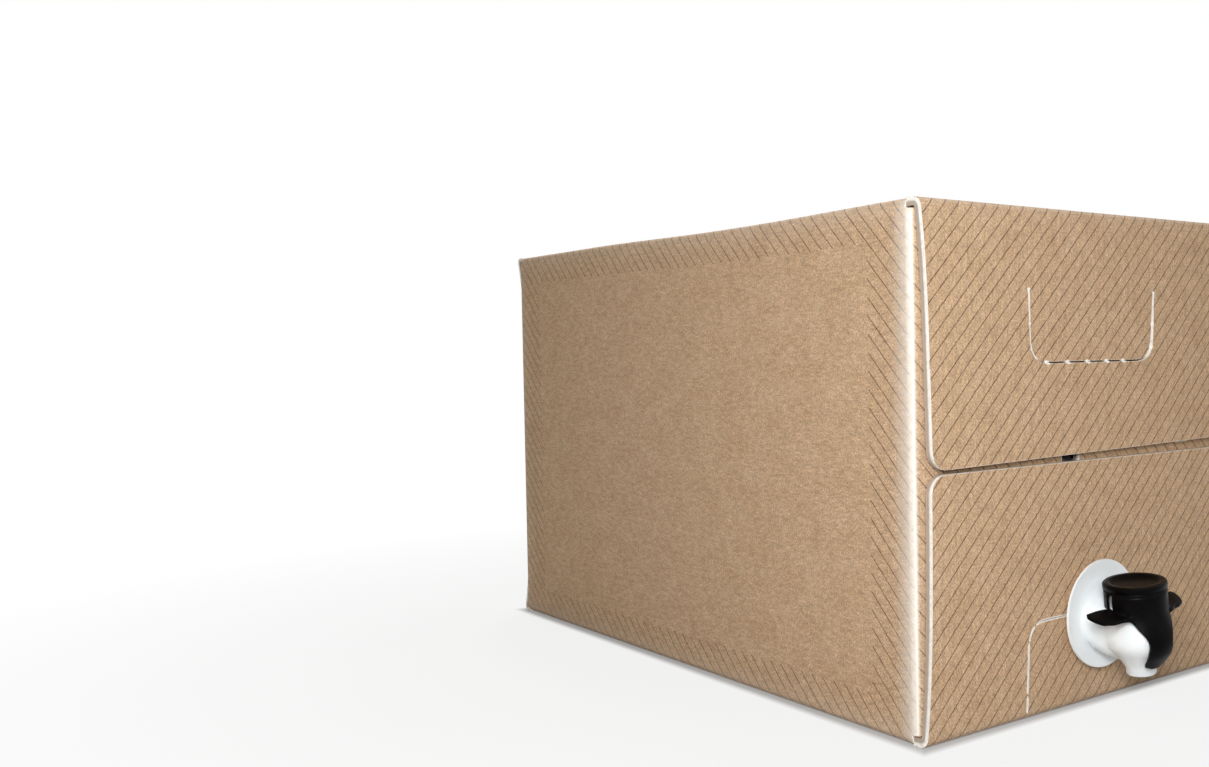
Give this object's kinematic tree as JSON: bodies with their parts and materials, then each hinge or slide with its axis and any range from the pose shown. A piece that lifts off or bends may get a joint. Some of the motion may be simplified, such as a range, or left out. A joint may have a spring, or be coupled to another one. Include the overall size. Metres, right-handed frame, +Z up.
{
  "type": "bag in box carton",
  "caption": "Corrugated carton lying on its long side, closed by glued flaps, holding a filled bag; a tap with a turning lever stands out of one end.",
  "frame": {"origin": "middle of the face the carton rests on", "axes": "+Z up, -Y out of the tap end, +X to the right as seen from the tap end"},
  "size_m": [0.186, 0.3505, 0.19],
  "materials": {
    "kraft_board": "matt brown kraft liner with thin printed hatch lines",
    "hot_melt": "dull amber glue",
    "bag_film": "silvered barrier film",
    "white_plastic": "milky white moulded polyethylene, slightly translucent",
    "black_plastic": "black moulded polypropylene, satin gloss",
    "soft_seal": "grey elastomer"
  },
  "bodies": {
    "carton": {"carton": "kraft_board", "hot_melt_tap_end_lower_left": "hot_melt", "hot_melt_tap_end_lower_right": "hot_melt", "hot_melt_tap_end_upper_left": "hot_melt", "hot_melt_tap_end_upper_right": "hot_melt", "hot_melt_back_end_lower_left": "hot_melt", "hot_melt_back_end_lower_right": "hot_melt", "hot_melt_back_end_upper_left": "hot_melt", "hot_melt_back_end_upper_right": "hot_melt", "hot_melt_sleeve_seam": "hot_melt", "bag": "bag_film", "gland": "white_plastic"},
    "tap": {"tap_body": "white_plastic", "stem_seal": "soft_seal"},
    "lever": {"tap_lever": "black_plastic"},
    "valve": {"valve_stem": "white_plastic", "valve_plug": "soft_seal"}
  },
  "joints": [
    {"name": "tap_swivel", "type": "hinge", "parent": "carton", "child": "tap", "pos_m": [0, -0.1585, 0.0342], "axis": [0, -1, 0], "continuous": true},
    {"name": "lever_turn", "type": "hinge", "parent": "tap", "child": "lever", "pos_m": [0, -0.1775, 0.0342], "axis": [-0.1045, 0, 0.9945], "range_deg": [0, 45]},
    {"name": "stem_lift", "type": "slide", "parent": "tap", "child": "valve", "axis": [-0.1045, 0, 0.9945], "range_m": [0, 0.003]}
  ],
  "couplings": [
    {"joint": "stem_lift", "follows": "lever_turn", "m_per_rad": 0.0038197}
  ]
}
